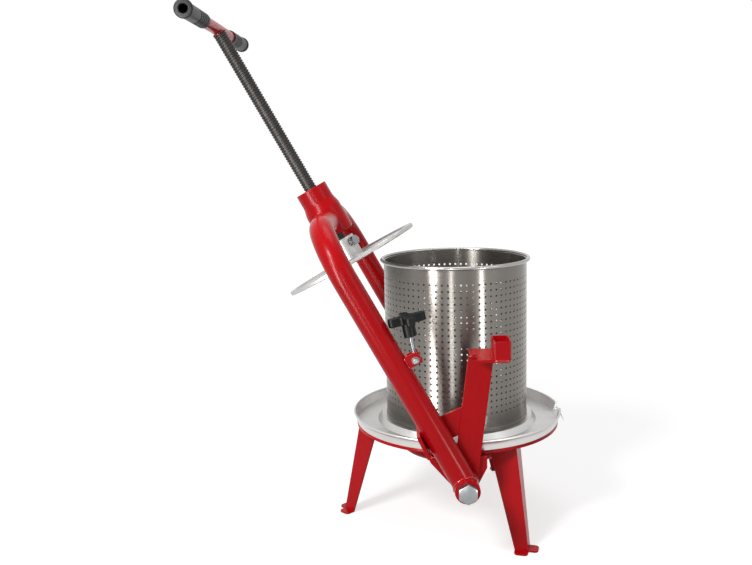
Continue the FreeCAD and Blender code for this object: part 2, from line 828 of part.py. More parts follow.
def spindle_nut():
    """Threaded sleeve fixed in the hub, in which the spindle turns."""
    top = hub_top - D.nut_recess
    blank = rod("spindle_nut_blank", D.nut_radius, top - D.nut_length, top)
    bore = rod("spindle_nut_bore", D.spindle_radius + D.running_fit, top - D.nut_length - OVERRUN,
               top + OVERRUN)
    return cut("spindle_nut", blank, bore, YOKE)


def yoke_boss(label, side):
    """Tube across the foot of an arm that turns on the pivot bolt."""
    low, high = across(side, boss_near, boss_far)
    blank = rod(f"{label}_blank", D.boss_radius, low, high, ALONG_Y)
    bore = rod(f"{label}_bore", D.bolt_radius + D.running_fit, low - OVERRUN, high + OVERRUN, ALONG_Y)
    return cut(label, blank, bore, YOKE)


def lock_lug():
    """Small channel welded on the front arm whose two ears hold the swing bolt's pin."""
    low, high = D.pin_height - D.lug_below, D.pin_height + D.lug_above
    web = D.arm_radius + D.lug_web
    built = Built("lug_channel").slab("XY_Plane", low, high, shape(
        (D.arm_radius - D.lug_web, -D.arm_spread - lug_half),
        (D.lug_reach, -D.arm_spread - lug_half),
        (D.lug_reach, -D.arm_spread - lug_gap / 2),
        (web, -D.arm_spread - lug_gap / 2),
        (web, lug_gap / 2 - D.arm_spread),
        (D.lug_reach, lug_gap / 2 - D.arm_spread),
        (D.lug_reach, lug_half - D.arm_spread),
        (D.arm_radius - D.lug_web, lug_half - D.arm_spread)))
    built.remove("XZ_Plane", -D.arm_spread - lug_half - OVERRUN, lug_half + OVERRUN - D.arm_spread,
                 circle(D.pin_reach, D.pin_height, D.pin_radius))
    arm = rod("lug_cope", D.arm_radius, low - OVERRUN, high + OVERRUN, placement((0, -D.arm_spread, 0)))
    return cut("lock_lug", built.body, arm, YOKE)


# The pin's own frame: its middle between the ears, its axis along Y towards the front
PIN = YOKE + " * " + placement((D.pin_reach, -D.arm_spread, D.pin_height), (1, 0, 0), 90)


def lug_bolt():
    """Hexagon screw through the ears and the eye, with its head at the back."""
    head = hexagon("lug_bolt_head", D.pin_flats, -lug_half - D.pin_head, -lug_half)
    shank = rod("lug_bolt_shank", D.pin_radius, -lug_half - OVERRUN,
                lug_half + D.pin_washer + D.pin_nut + D.pin_end)
    return fuse("lug_bolt", [head, shank], PIN)


def lug_washer():
    """Washer under the nut of the lug bolt."""
    low = lug_half
    blank = rod("lug_washer_blank", D.pin_washer_radius, low, low + D.pin_washer)
    bore = rod("lug_washer_bore", D.pin_radius, low - OVERRUN, low + D.pin_washer + OVERRUN)
    return cut("lug_washer", blank, bore, PIN)


def lug_nut():
    """Self-locking nut on the front end of the lug bolt."""
    low = lug_half + D.pin_washer
    block = hexagon("lug_nut_block", D.pin_flats, low, low + D.pin_nut)
    bore = rod("lug_nut_bore", D.pin_radius, low - OVERRUN, low + D.pin_nut + OVERRUN)
    return cut("lug_nut", block, bore, PIN)


def eye_bolt():
    """Swing bolt: an eye round the pin and a stud that carries the knob."""
    half = D.eye_thickness / 2
    eye = rod("eye_bolt_eye", D.eye_radius, -half, half, ALONG_Y)
    stud = rod("eye_bolt_stud", D.stud_radius, as_size(0), D.stud_length)
    bore = rod("eye_bolt_bore", D.pin_radius + D.running_fit, -half - OVERRUN, half + OVERRUN, ALONG_Y)
    return cut("eye_bolt", fuse("eye_bolt_blank", [eye, stud]), bore, SWING)


def star_knob():
    """Cross knob with four round-ended lobes over a hub, with a blind bore for the stud."""
    reach, half = D.lobe_reach, D.lobe_half_width
    lobes = []
    for across_x, across_y in ((1, 0), (0, 1), (-1, 0), (0, -1)):
        lobes += [
            (reach * across_x + half * across_y, reach * across_y - half * across_x, D.lobe_rounding),
            (reach * across_x - half * across_y, reach * across_y + half * across_x, D.lobe_rounding),
            (half * (across_x - across_y), half * (across_x + across_y), D.lobe_waist)]
    bore = circle(0, 0, D.stud_radius + D.running_fit)
    built = Built("star_knob")
    built.slab("XY_Plane", D.lobe_start, D.knob_end, shape(*lobes))
    built.soften("Fillet", D.lobe_edge, lambda edge: edge.BoundBox.ZLength < 0.001)
    built.slab("XY_Plane", D.knob_start, D.lobe_start + OVERRUN, circle(0, 0, D.knob_hub))
    built.remove("XY_Plane", D.knob_start - OVERRUN, D.stud_length + D.seat_gap, bore)
    return place(built.body, SWING, placement(angle=D.knob_turn))


# Press plate

def press_plate():
    """Round plate with a raised edge and a boss whose socket holds the spindle's end loosely."""
    bottom = D.plate_middle - D.plate_thickness / 2 - D.groove_height
    top = bottom + D.plate_thickness
    floor = top - D.plate_recess
    boss_top = D.plate_boss_top - D.groove_height
    socket = D.spindle_radius + D.socket_clearance
    socket_floor = D.socket_floor - D.groove_height
    built = Built("plate_turned").lathe(shape(
        (0, bottom),
        (D.plate_radius, bottom, 2),
        (D.plate_radius, top, 2),
        (D.plate_radius - D.plate_edge, top, 1.5),
        (D.plate_radius - D.plate_edge - D.plate_recess, floor, 1.5),
        (D.plate_boss, floor, 2),
        (D.plate_boss, boss_top, 1),
        (socket, boss_top),
        (socket, socket_floor),
        (0, socket_floor)))
    hole = rod("plate_screw_hole", D.screw_radius, as_size(0), D.plate_boss + OVERRUN,
               placement(axis=(0, 0, -1), angle=D.screw_bearing), ALONG_X)
    return cut("press_plate", built.body, hole, PLATE)


# The screw's own frame: its axis runs outwards from the spindle axis at the groove
SCREW = PLATE + " * " + placement(axis=(0, 0, -1), angle=D.screw_bearing) + " * " + ALONG_X


def plate_screw():
    """Hexagon screw through the boss whose tip runs in the spindle's groove."""
    tip = D.spindle_radius - D.groove_depth + D.screw_tip_gap
    seat = D.plate_boss + D.lock_nut + D.seat_gap
    head = hexagon("plate_screw_head", D.screw_flats, seat, seat + D.screw_head)
    shank = rod("plate_screw_shank", D.screw_radius, tip, seat + OVERRUN)
    return fuse("plate_screw", [head, shank], SCREW)


def plate_lock_nut():
    """Lock nut on the plate screw, against the boss."""
    block = hexagon("plate_lock_nut_block", D.screw_flats, D.plate_boss, D.plate_boss + D.lock_nut)
    bore = rod("plate_lock_nut_bore", D.screw_radius, D.plate_boss - OVERRUN,
               D.plate_boss + D.lock_nut + OVERRUN)
    return cut("plate_lock_nut", block, bore, SCREW)


# Spindle

def spindle():
    """Spindle with a groove near its foot, saddled at its head for the cross handle."""
    foot_end = D.socket_floor + D.spindle_end_gap
    groove_radius = D.spindle_radius - D.groove_depth
    groove_low = D.groove_height - D.groove_width / 2
    groove_high = D.groove_height + D.groove_width / 2
    built = Built("spindle_turned").lathe(shape(
        (0, foot_end),
        (D.spindle_radius - D.edge_chamfer, foot_end),
        (D.spindle_radius, foot_end + D.edge_chamfer),
        (D.spindle_radius, groove_low),
        (groove_radius, groove_low),
        (groove_radius, groove_high),
        (D.spindle_radius, groove_high),
        (D.spindle_radius, D.handle_height),
        (0, D.handle_height)))
    saddle = rod("spindle_saddle", D.handle_radius, -D.spindle_radius * 2, D.spindle_radius * 2,
                 placement((0, 0, D.handle_height)), ALONG_Y)
    return cut("spindle", built.body, saddle, YOKE)


def t_bar():
    """Cross tube on the spindle's head."""
    stand = placement((0, 0, D.handle_height))
    skin = rod("t_bar_skin", D.handle_radius, -D.handle_half, D.handle_half, stand, ALONG_Y)
    bore = rod("t_bar_bore", D.handle_bore, -D.handle_half - OVERRUN, D.handle_half + OVERRUN,
               stand, ALONG_Y)
    return cut("t_bar", skin, bore, YOKE)


def grip(label, side):
    """Sleeve over one end of the cross tube, with a collar and an open end."""
    end = D.handle_half + D.grip_cap
    built = Built(label).lathe(shape(
        (D.handle_radius, D.grip_start),
        (D.grip_radius, D.grip_start, D.grip_rounding),
        (D.grip_radius, end - D.grip_collar_length),
        (D.grip_collar, end - D.grip_collar_length + D.edge_chamfer),
        (D.grip_collar, end, D.grip_rounding),
        (D.handle_bore, end),
        (D.handle_bore, D.handle_half),
        (D.handle_radius, D.handle_half)))
    return place(built.body, YOKE, placement((0, 0, D.handle_height), (-side, 0, 0), 90))


nodes = {"base_dish": base_dish()}
for name, turns in (("left", 1.5), ("front", -0.5), ("rear", 0.5)):
    nodes[f"leg_{name}"] = leg(f"leg_{name}", turns * D.leg_spread_angle)
for name, side in SIDES.items():
    nodes[f"pivot_bracket_{name}"] = pivot_bracket(f"pivot_bracket_{name}", side)
    nodes[f"pivot_bolt_{name}"] = pivot_bolt(f"pivot_bolt_{name}", side)
    nodes[f"pivot_nut_{name}"] = pivot_nut(f"pivot_nut_{name}", side)
    nodes[f"pivot_washer_{name}"] = disc(
        f"pivot_washer_{name}", D.washer_radius, D.bolt_radius + D.hole_clearance, side,
        post_face, boss_near - D.seat_gap)
    nodes[f"yoke_boss_{name}"] = yoke_boss(f"yoke_boss_{name}", side)
    nodes[f"yoke_arm_{name}"] = yoke_arm(f"yoke_arm_{name}", side)
    nodes[f"grip_{name}"] = grip(f"grip_{name}", side)
nodes["pivot_spacer"] = disc("pivot_spacer", D.post_width / 2, D.bolt_radius + D.hole_clearance, REAR,
                             D.bracket_face, post_face)
for make in (lock_post, saddle_plate, lock_tube, yoke_rest, juice_tray, basket_shell, basket_rim,
             yoke_hub, spindle_nut, lock_lug, lug_bolt, lug_washer, lug_nut, eye_bolt, star_knob,
             press_plate, plate_screw, plate_lock_nut, spindle, t_bar):
    nodes[make.__name__] = make()

doc.recompute()
for piece in doc.Objects:
    faults = {"Invalid", "Error"} & set(piece.State)
    if faults:
        raise RuntimeError(f"{piece.Name}: {faults}")

os.makedirs("parts", exist_ok=True)
for name, piece in nodes.items():
    piece.Label = name
    if piece.Shape.isNull() or not piece.Shape.isValid() or not piece.Shape.Solids:
        raise RuntimeError(f"{name}: no valid solid")
for name, piece in nodes.items():
    piece.Shape.exportStep(f"parts/{name}.step")
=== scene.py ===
"""Fruit press with a tilting yoke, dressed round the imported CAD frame."""
import logging
import math
import random
from collections.abc import Callable, Iterable, Sequence
from dataclasses import dataclass, field
from enum import Enum
from typing import Any

import bpy
from mathutils import Matrix, Vector


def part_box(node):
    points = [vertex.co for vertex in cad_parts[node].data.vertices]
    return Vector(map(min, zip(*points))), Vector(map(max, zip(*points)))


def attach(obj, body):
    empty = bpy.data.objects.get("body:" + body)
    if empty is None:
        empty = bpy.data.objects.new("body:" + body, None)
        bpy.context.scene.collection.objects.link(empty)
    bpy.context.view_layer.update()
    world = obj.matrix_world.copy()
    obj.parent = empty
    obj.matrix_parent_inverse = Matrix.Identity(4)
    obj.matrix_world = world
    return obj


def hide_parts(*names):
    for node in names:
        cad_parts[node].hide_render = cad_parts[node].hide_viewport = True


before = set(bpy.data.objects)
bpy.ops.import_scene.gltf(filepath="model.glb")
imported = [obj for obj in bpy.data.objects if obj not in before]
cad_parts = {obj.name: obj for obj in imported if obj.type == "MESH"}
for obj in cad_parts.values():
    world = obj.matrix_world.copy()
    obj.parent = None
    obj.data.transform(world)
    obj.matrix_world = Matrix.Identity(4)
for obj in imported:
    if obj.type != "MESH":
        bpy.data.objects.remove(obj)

LOG = logging.getLogger("fruit_press")
MM = 0.001
TURN = math.tau
MERGE = 1e-5

Point = tuple[float, float, float]
Profile = Sequence[tuple[float, float]]


class Body(str, Enum):
    """CAD bodies that the pieces ride on."""

    FRAME = "frame"
    TRAY = "tray"
    BASKET = "basket"
    YOKE = "yoke"
    BOLT = "lock_bolt"
    KNOB = "knob"
    PLATE = "plate"
    SPINDLE = "spindle"


class Slot(str, Enum):
    """Material slots of the record."""

    PAINT = "red_paint"
    ZINC = "zinc_plate"
    TRAY = "tray_steel"
    BASKET = "basket_steel"
    PLATE = "plate_aluminium"
    SPINDLE = "black_steel"
    BRASS = "nut_brass"
    KNOB = "knob_plastic"
    GRIP = "grip_rubber"


def linear(code: str) -> tuple[float, float, float, float]:
    """Turns a colour to Blender's linear values.

    Args:
        code: sRGB hex colour such as "#B4121C".

    Returns:
        Linear red, green, blue and an alpha of 1.
    """
    parts = (int(code[i:i + 2], 16) / 255 for i in (1, 3, 5))
    return (*(c / 12.92 if c <= 0.04045 else ((c + 0.055) / 1.055) ** 2.4 for c in parts), 1.0)


def node(tree: bpy.types.NodeTree, kind: str, settings: dict[Any, Any]) -> bpy.types.Node:
    """Adds a shader node with its settings and links.

    Args:
        tree: Node tree of the material or world.
        kind: Node type without its "ShaderNode" prefix.
        settings: Property or input (by name or number) with its value or the socket that feeds it.

    Returns:
        The new node.
    """
    new = tree.nodes.new("ShaderNode" + kind)
    for key, value in settings.items():
        if isinstance(key, str) and key in new.bl_rna.properties:
            setattr(new, key, value)
        elif isinstance(value, bpy.types.NodeSocket):
            tree.links.new(value, new.inputs[key])
        else:
            new.inputs[key].default_value = value
    return new


@dataclass(frozen=True)
class Grain:
    """Noise on Object coordinates, with the size of its features in millimetres along x, y and z."""

    size: Point
    detail: float = 2.0
    turn: float = 0.0

    def output(self, tree: bpy.types.NodeTree) -> bpy.types.NodeSocket:
        """Adds the noise to a tree and returns its value, 0 to 1."""
        place = node(tree, "TexCoord", {})
        scale = tuple(1 / (side * MM) for side in self.size)
        turned = node(tree, "Mapping", {"Vector": place.outputs["Object"], "Rotation": (0.0, self.turn, 0.0)})
        spread = node(tree, "Mapping", {"Vector": turned.outputs[0], "Scale": scale})
        noise = node(tree, "TexNoise", {"Vector": spread.outputs[0], "Scale": 1.0, "Detail": self.detail})
        return noise.outputs[0]


@dataclass(frozen=True)
class Finish:
    """Surface of one real material: two near colours mixed by a mottle, and a fine relief.

    The roughness runs between its two values with the relief's own grain. A brushed surface has its
    tangent run round Z.
    """

    name: str
    colours: tuple[str, str]
    roughness: tuple[float, float]
    mottle: Grain
    relief: Grain
    depth: float
    metallic: float = 0.0
    brushed: bool = False
    shader: dict[str, float] = field(default_factory=dict)

    def material(self) -> bpy.types.Material:
        """Makes the material once and returns it."""
        held = bpy.data.materials.get(self.name)
        if held:
            return held
        made = bpy.data.materials.new(self.name)
        made.use_nodes = True
        tree = made.node_tree
        tree.nodes.clear()
        grain = self.relief.output(tree)
        colour = node(tree, "Mix", {
            "data_type": "RGBA", 0: self.mottle.output(tree),
            6: linear(self.colours[0]), 7: linear(self.colours[1])})
        gloss = node(tree, "MapRange", {
            0: grain, 1: 0.3, 2: 0.7, 3: self.roughness[0], 4: self.roughness[1]})
        bump = node(tree, "Bump", {"Height": grain, "Distance": self.depth * MM, "Strength": 1.0})
        surface = node(tree, "BsdfPrincipled", {
            "Base Color": colour.outputs[2], "Roughness": gloss.outputs[0], "Normal": bump.outputs[0],
            "Metallic": self.metallic, **self.shader})
        if self.brushed:
            round_axis = node(tree, "Tangent", {"direction_type": "RADIAL", "axis": "Z"})
            tree.links.new(round_axis.outputs[0], surface.inputs["Tangent"])
        node(tree, "OutputMaterial", {"Surface": surface.outputs[0]})
        made.diffuse_color = linear(self.colours[0])
        return made


# Polyester powder coat over steel: a deep even red with a soft gloss and a barely wavy skin.
PAINT = Finish("powder_coat_red", ("#C00812", "#B40710"), (0.23, 0.27), Grain((60, 60, 60)),
               Grain((16, 16, 16), 0.0), 0.004, shader={"Specular IOR Level": 0.12})
# The same coat over weld ripples, where it pools and glints more than on the flat.
WELD_PAINT = Finish("powder_coat_over_weld", ("#C00812", "#B40710"), (0.1, 0.14), Grain((60, 60, 60)),
                    Grain((2, 2, 2), 1.0), 0.02, shader={"Specular IOR Level": 0.45})
# Brushed stainless sheet: its grain runs round the basket and draws lamps out into tall bright streaks.
BASKET_STEEL = Finish("brushed_stainless_sheet", ("#7D7974", "#736F6A"), (0.27, 0.33), Grain((90, 90, 40)),
                      Grain((30, 30, 0.8), 2.0), 0.002, metallic=1.0, brushed=True,
                      shader={"Anisotropic": 0.95, "Anisotropic Rotation": 0.25})
# Rolled bead of the same sheet, polished by handling: pale with a tight gloss.
BEAD_STEEL = Finish("polished_stainless_bead", ("#A8A5A1", "#9C9995"), (0.16, 0.24), Grain((40, 40, 20)),
                    Grain((3, 3, 3), 2.0), 0.004, metallic=1.0)
# Deep drawn sheet, bead blasted lightly: pale silver with a soft haze that smears what it mirrors.
TRAY_STEEL = Finish("pale_drawn_sheet", ("#CDCCCA", "#C3C2C0"), (0.3, 0.4), Grain((70, 70, 20)),
                    Grain((12, 12, 12), 2.0), 0.01, metallic=1.0)
# Cast aluminium, faced on the lathe: pale satin grey with a slight mottle.
PLATE_METAL = Finish("faced_cast_aluminium", ("#B9B9B7", "#AEAEAC"), (0.4, 0.5), Grain((20, 20, 20)),
                     Grain((4, 4, 4), 2.0), 0.01, metallic=1.0)
# Oiled black steel: dark neutral grey with a dull sheen that the thread breaks into stripes.
SPINDLE_STEEL = Finish("oiled_black_steel", ("#484543", "#383635"), (0.45, 0.55), Grain((14, 14, 20)),
                       Grain((3, 3, 3), 2.0), 0.01, metallic=1.0)
# Blue passivated zinc plate: mid silver grey with a cloudy gloss.
ZINC = Finish("blue_zinc_plate", ("#949798", "#808385"), (0.3, 0.4), Grain((5, 5, 5)),
              Grain((2, 2, 2), 2.0), 0.006, metallic=1.0)
# Glass filled nylon, moulded: satin black with a fine spark eroded skin.
KNOB_NYLON = Finish("moulded_black_nylon", ("#0A0B0C", "#060707"), (0.32, 0.42), Grain((20, 20, 20)),
                    Grain((1.5, 1.5, 1.5), 2.0), 0.006, shader={"Specular IOR Level": 0.16})
# Soft vinyl grip: nearly black, with the dull shine of plasticiser.
GRIP_VINYL = Finish("soft_vinyl_grip", ("#181818", "#111112"), (0.4, 0.5), Grain((16, 16, 16)),
                    Grain((3, 3, 3), 2.0), 0.01, shader={"Specular IOR Level": 0.26})
# Machined brass nut: warm yellow, seen only in the hub's mouth.
BRASS = Finish("machined_brass", ("#B9974F", "#A98944"), (0.25, 0.35), Grain((12, 12, 12)),
               Grain((4, 4, 0.8), 2.0), 0.004, metallic=1.0)
# Nylon ring in the self-locking nut: milky white.
RING_NYLON = Finish("milky_nylon_ring", ("#ECEAE4", "#E2E0DA"), (0.4, 0.5), Grain((3, 3, 3)),
                    Grain((2, 2, 2), 1.0), 0.004)
# Painted shade inside the handle's tube: a near-black, dull lining that stands in for the shade deep in the
# bore.
BORE_SHADE_PAINT = Finish("painted_bore_shade", ("#1A1A1D", "#131316"), (0.5, 0.65), Grain((10, 10, 10)),
                    Grain((2, 2, 2), 2.0), 0.01, metallic=1.0)


def deselect() -> None:
    """Leaves nothing selected."""
    bpy.ops.object.select_all(action="DESELECT")


def only(piece: bpy.types.Object) -> None:
    """Selects one object and makes it active."""
    deselect()
    piece.select_set(True)
    bpy.context.view_layer.objects.active = piece


def edit(piece: bpy.types.Object, *steps: Callable[[], Any]) -> None:
    """Runs operators in edit mode on what is selected in the mesh."""
    only(piece)
    bpy.ops.object.mode_set(mode="EDIT")
    for step in steps:
        step()
    bpy.ops.object.mode_set(mode="OBJECT")


def choose(piece: bpy.types.Object, test: Callable[[Vector], bool], kind: str = "VERT") -> None:
    """Selects mesh elements by the place of their middle.

    Args:
        piece: The object.
        test: Says whether an element at that point is chosen.
        kind: "VERT", "EDGE" or "FACE".
    """
    only(piece)
    bpy.ops.object.mode_set(mode="EDIT")
    bpy.ops.mesh.select_mode(type=kind)
    bpy.ops.mesh.select_all(action="DESELECT")
    bpy.ops.object.mode_set(mode="OBJECT")
    mesh = piece.data
    points = [v.co for v in mesh.vertices]
    if kind == "VERT":
        for item in mesh.vertices:
            item.select = test(item.co)
    elif kind == "EDGE":
        for item in mesh.edges:
            item.select = test((points[item.vertices[0]] + points[item.vertices[1]]) / 2)
    else:
        for item in mesh.polygons:
            item.select = test(item.center)


def modify(piece: bpy.types.Object, kind: str, **settings: Any) -> None:
    """Adds a modifier and applies it."""
    only(piece)
    added = piece.modifiers.new(kind.lower(), kind)
    for key, value in settings.items():
        setattr(added, key, value)
    bpy.ops.object.modifier_apply(modifier=added.name)


def repeat(piece: bpy.types.Object, count: int, step: Point) -> None:
    """Repeats the piece at a step in metres and merges the copies' shared corners."""
    modify(piece, "ARRAY", count=count, use_relative_offset=False, use_constant_offset=True,
           constant_offset_displace=step, use_merge_vertices=True, merge_threshold=MERGE)


def settle(piece: bpy.types.Object, place: Matrix = Matrix()) -> None:
    """Moves the object by a matrix and puts its whole place into the mesh."""
    only(piece)
    piece.matrix_world = place @ piece.matrix_world
    bpy.ops.object.transform_apply(location=True, rotation=True, scale=True)


def join(name: str, parts: Sequence[bpy.types.Object]) -> bpy.types.Object:
    """Joins objects into the first one under a new name."""
    deselect()
    for part in parts:
        part.select_set(True)
    bpy.context.view_layer.objects.active = parts[0]
    if len(parts) > 1:
        bpy.ops.object.join()
    parts[0].name = name
    return parts[0]


def smooth(piece: bpy.types.Object, angle: float = 32.0) -> None:
    """Shades the piece smooth, apart from edges sharper than the angle in degrees."""
    only(piece)
    bpy.ops.object.shade_smooth_by_angle(angle=math.radians(angle))


def finished(piece: bpy.types.Object, name: str, body: Body, finish: Finish) -> bpy.types.Object:
    """Names and dresses a piece and lets it ride on its body."""
    piece.name = name
    piece.data.name = name
    piece.data.materials.clear()
    piece.data.materials.append(finish.material())
    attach(piece, body.value)
    LOG.info("%s: %d faces", name, len(piece.data.polygons))
    return piece


def line(name: str, points: Sequence[Point]) -> bpy.types.Object:
    """Draws an open run of edges by extruding one corner from point to point."""
    deselect()
    bpy.ops.mesh.primitive_plane_add(size=MM, location=points[0])
    piece = bpy.context.object
    piece.name = name
    bpy.ops.object.mode_set(mode="EDIT")
    bpy.ops.mesh.select_mode(type="VERT")
    bpy.ops.mesh.select_all(action="SELECT")
    bpy.ops.mesh.merge(type="CENTER")
    for before, after in zip(points, points[1:]):
        step = tuple(b - a for a, b in zip(before, after))
        bpy.ops.mesh.extrude_region_move(TRANSFORM_OT_translate={"value": step})
    bpy.ops.object.mode_set(mode="OBJECT")
    settle(piece)
    return piece


def lathe(name: str, profile: Profile, segments: int = 48, closed: bool = False) -> bpy.types.Object:
    """Turns a profile about Z.

    Args:
        name: Name of the object.
        profile: Radius and height of each corner, in millimetres.
        segments: Steps round the axis.
        closed: Joins the last corner to the first.

    Returns:
        The turned piece, with its normals outwards.
    """
    corners = [*profile, profile[0]] if closed else list(profile)
    piece = line(name, [(radius * MM, 0.0, height * MM) for radius, height in corners])
    edit(piece,
         lambda: bpy.ops.mesh.select_all(action="SELECT"),
         lambda: bpy.ops.mesh.remove_doubles(threshold=MERGE),
         lambda: bpy.ops.mesh.spin(steps=segments, angle=TURN, center=(0, 0, 0), axis=(0, 0, 1)),
         lambda: bpy.ops.mesh.select_all(action="SELECT"),
         lambda: bpy.ops.mesh.remove_doubles(threshold=MERGE),
         lambda: bpy.ops.mesh.normals_make_consistent(inside=False))
    return piece


def tube(name: str, path: Sequence[Point], radius: float, closed: bool = False,
         shares: Sequence[float] | None = None, fineness: int = 4) -> bpy.types.Object:
    """Draws a round bar along a path.

    Args:
        name: Name of the object.
        path: Points of its middle line, in metres.
        radius: Radius in millimetres.
        closed: Joins the ends.
        shares: Share of the radius at each point, or None for all of it.
        fineness: Steps in a quarter of its round.

    Returns:
        The bar as a mesh, with flat ends where it is open.
    """
    curve = bpy.data.curves.new(name, "CURVE")
    curve.dimensions = "3D"
    curve.bevel_depth = radius * MM
    curve.bevel_resolution = fineness
    curve.use_fill_caps = True
    spline = curve.splines.new("POLY")
    spline.points.add(len(path) - 1)
    spline.use_cyclic_u = closed
    for knot, place, share in zip(spline.points, path, shares or [1.0] * len(path)):
        knot.co = (*place, 1.0)
        knot.radius = share
    piece = bpy.data.objects.new(name, curve)
    bpy.context.scene.collection.objects.link(piece)
    only(piece)
    bpy.ops.object.convert(target="MESH")
    piece = bpy.context.object
    edit(piece, lambda: bpy.ops.mesh.select_all(action="SELECT"),
         lambda: bpy.ops.mesh.remove_doubles(threshold=MERGE))
    smooth(piece, 60)
    return piece


def threaded(name: str, radius: float, depth: float, pitch: float, low: float, high: float,
             steps: int = 32) -> bpy.types.Object:
    """Cuts a thread along Z between two heights, closed at both ends.

    Args:
        name: Name of the object.
        radius: Radius at the crests, in millimetres.
        depth: Depth of the thread.
        pitch: Height of one turn.
        low: Height of the lower end.
        high: Height of the upper end.
        steps: Steps in one turn.

    Returns:
        The threaded rod.
    """
    root, flank, crest = 0.12, 0.27, 0.32
    half = ((0.0, 1.0), (root, 1.0), (flank, 0.15), (crest, 0.0))
    shares = [*half, *((1.0 - height, share) for height, share in reversed(half))]
    piece = line(name, [((radius - share * depth) * MM, 0.0, (low + (height - 1.0) * pitch) * MM)
                        for height, share in shares])
    turns = math.ceil((high - low) / pitch) + 2
    modify(piece, "SCREW", axis="Z", angle=TURN, screw_offset=pitch * MM, iterations=turns, steps=steps,
           render_steps=steps, use_merge_vertices=True, merge_threshold=MERGE)
    for height, inner in ((low, True), (high, False)):
        edit(piece,
             lambda: bpy.ops.mesh.select_all(action="SELECT"),
             lambda: bpy.ops.mesh.remove_doubles(threshold=MERGE),
             lambda: bpy.ops.mesh.bisect(plane_co=(0, 0, height * MM), plane_no=(0, 0, 1), use_fill=True,
                                         clear_inner=inner, clear_outer=not inner))
    edit(piece,
         lambda: bpy.ops.mesh.select_all(action="SELECT"),
         lambda: bpy.ops.mesh.normals_make_consistent(inside=False))
    smooth(piece, 40)
    return piece


def hexagon(name: str, flats: float, low: float, high: float, chamfers: tuple[bool, bool],
            bore: float = 0.0) -> bpy.types.Object:
    """Makes a hexagon with its corners turned off at 30 degrees.

    Args:
        name: Name of the object.
        flats: Width across the flats, in millimetres.
        low: Lower end on Z.
        high: Upper end on Z.
        chamfers: Whether the lower and the upper end are turned.
        bore: Radius of a hole through it, or 0.

    Returns:
        The hexagon, with two corners on Y.
    """
    corner = flats / math.sqrt(3)
    drop = (corner - flats * 0.48) * math.tan(math.radians(30))
    deselect()
    bpy.ops.mesh.primitive_cylinder_add(vertices=6, radius=corner * MM, depth=(high - low) * MM,
                                        location=(0, 0, (low + high) / 2 * MM))
    piece = bpy.context.object
    settle(piece)
    outer = corner * 1.02
    rims = [flats * 0.48 if turned else outer for turned in chamfers]
    drops = [drop if turned else 0.0 for turned in chamfers]
    profile = [(bore, low), (rims[0], low), (outer, low + drops[0]),
               (outer, high - drops[1]), (rims[1], high), (bore, high)]
    tool = lathe(name + "_tool", profile, 60, closed=bore > 0)
    modify(piece, "BOOLEAN", operation="INTERSECT", object=tool, solver="EXACT")
    bpy.data.objects.remove(tool)
    modify(piece, "BEVEL", width=0.25 * MM, segments=2, limit_method="ANGLE", angle_limit=math.radians(35))
    smooth(piece, 35)
    piece.name = name
    return piece


def softened(source: str, edge: float, sharp: float = 32.0, shade: float = 40.0) -> bpy.types.Object:
    """Copies a CAD node's mesh with its corners merged and its sharp edges broken.

    Args:
        source: Name of the CAD node, which the copy replaces.
        edge: Width of the broken edge, in millimetres, or 0.
        sharp: Edges sharper than this many degrees are broken.
        shade: Edges sharper than this many degrees stay hard in the shading.

    Returns:
        The softened copy.
    """
    piece = bpy.data.objects.new(source + "_piece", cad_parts[source].data.copy())
    bpy.context.scene.collection.objects.link(piece)
    only(piece)
    bpy.ops.mesh.customdata_custom_splitnormals_clear()
    edit(piece, lambda: bpy.ops.mesh.select_all(action="SELECT"),
         lambda: bpy.ops.mesh.remove_doubles(threshold=MERGE))
    if not edge:
        smooth(piece, shade)
        return piece
    edit(piece, lambda: bpy.ops.mesh.dissolve_limited(angle_limit=math.radians(0.3)))
    modify(piece, "BEVEL", width=edge * MM, segments=2, limit_method="ANGLE",
           angle_limit=math.radians(sharp), use_clamp_overlap=True)
    smooth(piece, shade)
    modify(piece, "WEIGHTED_NORMAL", keep_sharp=True, weight=60)
    return piece


@dataclass
class Assembly:
    """A group of pieces on one body."""

    body: Body

    def dress(self, sources: Iterable[str], slot: Slot, finish: Finish, edge: float = 0.5,
              sharp: float = 32.0, shade: float = 40.0) -> None:
        """Replaces CAD nodes by softened copies with a finish."""
        for source in sources:
            piece = softened(source, edge, sharp, shade)
            finished(piece, source + "_piece", self.body, finish)
            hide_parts(source)

    def coat(self, sources: Iterable[str], finish: Finish) -> None:
        """Gives CAD nodes that stay a finish of their own."""
        for source in sources:
            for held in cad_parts[source].material_slots:
                held.link = "OBJECT"
                held.material = finish.material()

    def weld(self, name: str, path: Sequence[Point], width: float, closed: bool, seed: int) -> None:
        """Lays a painted weld bead with its ripples.

        Args:
            name: Name of the piece.
            path: Points along the bead, in metres.
            width: Width of the bead, in millimetres.
            closed: Joins the ends.
            seed: Seed of the bead's unevenness.
        """
        dice = random.Random(seed)
        shares = []
        for number in range(len(path)):
            taper = 1.0 if closed else min(1.0, 0.45 + 0.3 * min(number, len(path) - 1 - number))
            shares.append(taper * (1.0 + (0.14 if number % 2 else -0.12) + dice.uniform(-0.06, 0.06)))
        piece = tube(name, path, width / 2, closed, shares, 2)
        finished(piece, name, self.body, WELD_PAINT)


def along(start: Point, end: Point, step: float = 1.4) -> list[Point]:
    """Divides a straight run, given in millimetres, into points a step apart, in metres."""
    a, b = Vector(start) * MM, Vector(end) * MM
    count = max(2, round((b - a).length / (step * MM)))
    return [tuple(a.lerp(b, i / count)) for i in range(count + 1)]


